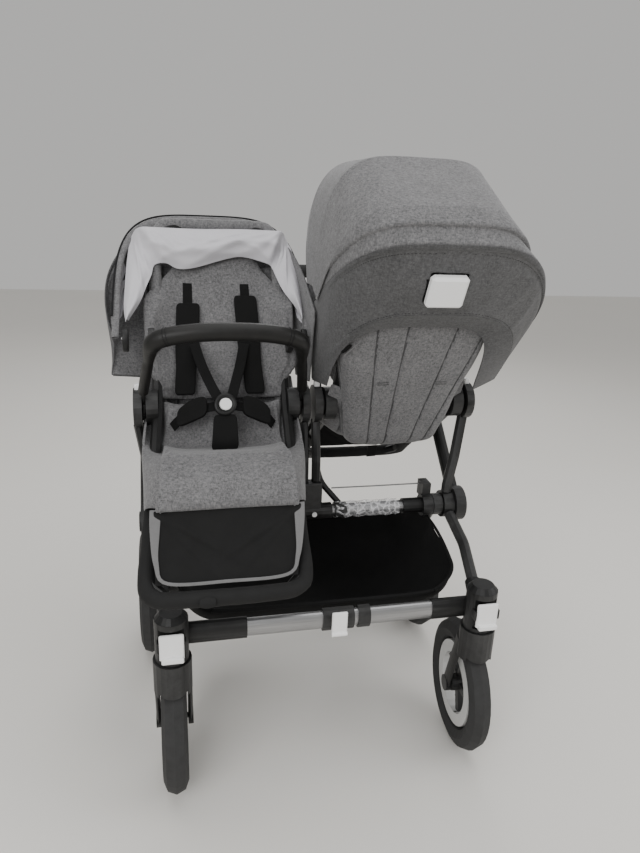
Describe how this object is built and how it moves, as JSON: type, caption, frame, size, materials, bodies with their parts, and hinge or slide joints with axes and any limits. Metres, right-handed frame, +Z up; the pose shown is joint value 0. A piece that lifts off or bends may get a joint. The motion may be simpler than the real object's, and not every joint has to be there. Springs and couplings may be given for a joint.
{
  "type": "double stroller",
  "caption": "Side-by-side double stroller: wheeled chassis with swivel front castors, push handle, sling basket, and padded seats with folding hoods facing opposite ways.",
  "frame": {"origin": "middle of the footprint's overall box, on the floor", "axes": "+X across the stroller, +Y to its rear where the push handle is, +Z up"},
  "size_m": [0.7566, 0.8171, 1.1495],
  "materials": {
    "black_plastic": "satin black",
    "brushed_aluminium": "brushed",
    "white_plastic": "semi-gloss white",
    "tyre_rubber": "matt dark grey",
    "light_rim": "satin light grey",
    "grey_fabric": "heather grey weave",
    "black_fabric": "black woven",
    "black_webbing": "black woven strap",
    "black_leatherette": "semi-matt black",
    "grip_foam": "matt black foam",
    "steel_cable": "dark wire"
  },
  "bodies": {
    "chassis": {"front_leg_left": "black_plastic", "front_leg_right": "black_plastic", "hub_left": "black_plastic", "hub_right": "black_plastic", "side_post_left": "black_plastic", "side_post_right": "black_plastic", "front_housing_left": "black_plastic", "front_housing_right": "black_plastic", "centre_post": "black_plastic", "mid_bar": "brushed_aluminium", "front_bar": "brushed_aluminium", "front_clamp": "black_plastic", "frame_cable": "steel_cable", "basket": "black_fabric"},
    "mid_button": {"mid_button": "white_plastic"},
    "front_clip": {"front_clip": "white_plastic"},
    "swivel_tab_left": {"swivel_tab_left": "white_plastic"},
    "hinge_button_outer_left": {"hinge_button_outer_left": "white_plastic"},
    "hinge_button_inner_left": {"hinge_button_inner_left": "white_plastic"},
    "swivel_tab_right": {"swivel_tab_right": "white_plastic"},
    "hinge_button_outer_right": {"hinge_button_outer_right": "white_plastic"},
    "hinge_button_inner_right": {"hinge_button_inner_right": "white_plastic"},
    "rear_legs": {"rear_leg_left": "black_plastic", "rear_leg_right": "black_plastic", "rear_bar": "black_plastic"},
    "brake_pedal": {"brake_pedal": "black_plastic"},
    "rear_wheel_left": {"rear_tyre_left": "tyre_rubber", "rear_rim_left": "light_rim"},
    "rear_wheel_right": {"rear_tyre_right": "tyre_rubber", "rear_rim_right": "light_rim"},
    "castor_left": {"fork_left": "black_plastic"},
    "front_wheel_left": {"front_tyre_left": "tyre_rubber", "front_rim_left": "light_rim"},
    "castor_right": {"fork_right": "black_plastic"},
    "front_wheel_right": {"front_tyre_right": "tyre_rubber", "front_rim_right": "light_rim"},
    "handle": {"handle_tube_left": "black_plastic", "handle_tube_right": "black_plastic"},
    "handle_bar": {"handle_bar": "brushed_aluminium", "handle_grip": "grip_foam"},
    "seat_left": {"seat_frame_left": "black_plastic", "seat_shell_left": "grey_fabric", "harness_left": "black_webbing", "buckle_left": "black_plastic", "hood_rear_left": "grey_fabric", "hood_canopy_left": "grey_fabric"},
    "bumper_left": {"bumper_bar_left": "black_leatherette"},
    "hood_left": {"hood_hoop_left": "grey_fabric"},
    "buckle_button_left": {"buckle_button_left": "white_plastic"},
    "recline_handle_left": {"recline_handle_left": "white_plastic"},
    "seat_right": {"seat_frame_right": "black_plastic", "seat_shell_right": "grey_fabric", "harness_right": "black_webbing", "buckle_right": "black_plastic", "hood_rear_right": "grey_fabric", "hood_canopy_right": "grey_fabric"},
    "bumper_right": {"bumper_bar_right": "black_leatherette"},
    "hood_right": {"hood_hoop_right": "grey_fabric"},
    "buckle_button_right": {"buckle_button_right": "white_plastic"},
    "recline_handle_right": {"recline_handle_right": "white_plastic"}
  },
  "joints": [
    {"name": "mid_button_press", "type": "slide", "parent": "chassis", "child": "mid_button", "axis": [0, 1, 0], "range_m": [0, 0.0006], "stiffness_N_per_m": 400},
    {"name": "front_clip_turn", "type": "hinge", "parent": "chassis", "child": "front_clip", "pos_m": [0.0125, -0.3232, 0.3115], "axis": [1, 0, 0], "range_deg": [0, 60]},
    {"name": "swivel_tab_left_rock", "type": "hinge", "parent": "chassis", "child": "swivel_tab_left", "pos_m": [-0.287, -0.3505, 0.343], "axis": [1, 0, 0], "range_deg": [0, 10]},
    {"name": "hinge_button_outer_left_press", "type": "slide", "parent": "chassis", "child": "hinge_button_outer_left", "axis": [0, 0, -1], "range_m": [0, 0.004], "stiffness_N_per_m": 400},
    {"name": "hinge_button_inner_left_press", "type": "slide", "parent": "chassis", "child": "hinge_button_inner_left", "axis": [0, 0, -1], "range_m": [0, 0.004], "stiffness_N_per_m": 400},
    {"name": "swivel_tab_right_rock", "type": "hinge", "parent": "chassis", "child": "swivel_tab_right", "pos_m": [0.287, -0.3505, 0.343], "axis": [1, 0, 0], "range_deg": [0, 10]},
    {"name": "hinge_button_outer_right_press", "type": "slide", "parent": "chassis", "child": "hinge_button_outer_right", "axis": [0, 0, -1], "range_m": [0, 0.004], "stiffness_N_per_m": 400},
    {"name": "hinge_button_inner_right_press", "type": "slide", "parent": "chassis", "child": "hinge_button_inner_right", "axis": [0, 0, -1], "range_m": [0, 0.004], "stiffness_N_per_m": 400},
    {"name": "handle_fold", "type": "hinge", "parent": "chassis", "child": "handle", "pos_m": [0, -0.0826, 0.4445], "axis": [1, 0, 0], "range_deg": [0, 10]},
    {"name": "rear_leg_fold", "type": "hinge", "parent": "chassis", "child": "rear_legs", "pos_m": [0, -0.0826, 0.4445], "axis": [1, 0, 0], "range_deg": [-7, 0]},
    {"name": "brake_pedal_turn", "type": "hinge", "parent": "rear_legs", "child": "brake_pedal", "pos_m": [0.17, 0.1208, 0.17945], "axis": [-1, 0, 0], "range_deg": [0, 20]},
    {"name": "rear_wheel_left_spin", "type": "hinge", "parent": "rear_legs", "child": "rear_wheel_left", "pos_m": [-0.339, 0.1434, 0.15], "axis": [1, 0, 0], "continuous": true},
    {"name": "rear_wheel_right_spin", "type": "hinge", "parent": "rear_legs", "child": "rear_wheel_right", "pos_m": [0.339, 0.1434, 0.15], "axis": [1, 0, 0], "continuous": true},
    {"name": "castor_left_swivel", "type": "hinge", "parent": "chassis", "child": "castor_left", "pos_m": [-0.287, -0.326, 0.3], "axis": [0, 0, 1], "continuous": true},
    {"name": "front_wheel_left_spin", "type": "hinge", "parent": "castor_left", "child": "front_wheel_left", "pos_m": [-0.287, -0.278, 0.1305], "axis": [1, 0, 0], "continuous": true},
    {"name": "castor_right_swivel", "type": "hinge", "parent": "chassis", "child": "castor_right", "pos_m": [0.287, -0.326, 0.3], "axis": [0, 0, 1], "continuous": true},
    {"name": "front_wheel_right_spin", "type": "hinge", "parent": "castor_right", "child": "front_wheel_right", "pos_m": [0.29035, -0.27812, 0.1305], "axis": [0.9976, -0.0698, 0], "continuous": true},
    {"name": "handle_height", "type": "slide", "parent": "handle", "child": "handle_bar", "axis": [0, 0.7266, 0.6871], "range_m": [0, 0.14]},
    {"name": "seat_left_recline", "type": "hinge", "parent": "chassis", "child": "seat_left", "pos_m": [-0.1748, -0.0516, 0.672], "axis": [-1, 0, 0], "range_deg": [0, 12]},
    {"name": "bumper_left_swing", "type": "hinge", "parent": "seat_left", "child": "bumper_left", "pos_m": [-0.1748, -0.0516, 0.672], "axis": [-1, 0, 0], "range_deg": [0, 25]},
    {"name": "hood_left_fold", "type": "hinge", "parent": "seat_left", "child": "hood_left", "pos_m": [-0.1748, -0.05315, 0.81065], "axis": [1, 0, 0], "range_deg": [0, 85], "deforming": ["hood_canopy_left"]},
    {"name": "buckle_button_left_press", "type": "slide", "parent": "seat_left", "child": "buckle_button_left", "axis": [0, 0.9063, -0.4226], "range_m": [0, 0.002], "stiffness_N_per_m": 400},
    {"name": "recline_handle_left_squeeze", "type": "slide", "parent": "seat_left", "child": "recline_handle_left", "axis": [0, 0.4226, 0.9063], "range_m": [0, 0.004], "stiffness_N_per_m": 400},
    {"name": "seat_right_recline", "type": "hinge", "parent": "chassis", "child": "seat_right", "pos_m": [0.1748, -0.0516, 0.672], "axis": [1, 0, 0], "range_deg": [0, 12]},
    {"name": "bumper_right_swing", "type": "hinge", "parent": "seat_right", "child": "bumper_right", "pos_m": [0.1748, -0.0516, 0.672], "axis": [1, 0, 0], "range_deg": [0, 25]},
    {"name": "hood_right_fold", "type": "hinge", "parent": "seat_right", "child": "hood_right", "pos_m": [0.1748, -0.05005, 0.81065], "axis": [-1, 0, 0], "range_deg": [-85, 0], "deforming": ["hood_canopy_right"]},
    {"name": "buckle_button_right_press", "type": "slide", "parent": "seat_right", "child": "buckle_button_right", "axis": [0, -0.9063, -0.4226], "range_m": [0, 0.002], "stiffness_N_per_m": 400},
    {"name": "recline_handle_right_squeeze", "type": "slide", "parent": "seat_right", "child": "recline_handle_right", "axis": [0, -0.4226, 0.9063], "range_m": [0, 0.004], "stiffness_N_per_m": 400}
  ],
  "couplings": [
    {"joint": "rear_leg_fold", "follows": "handle_fold", "ratio": -0.63}
  ]
}
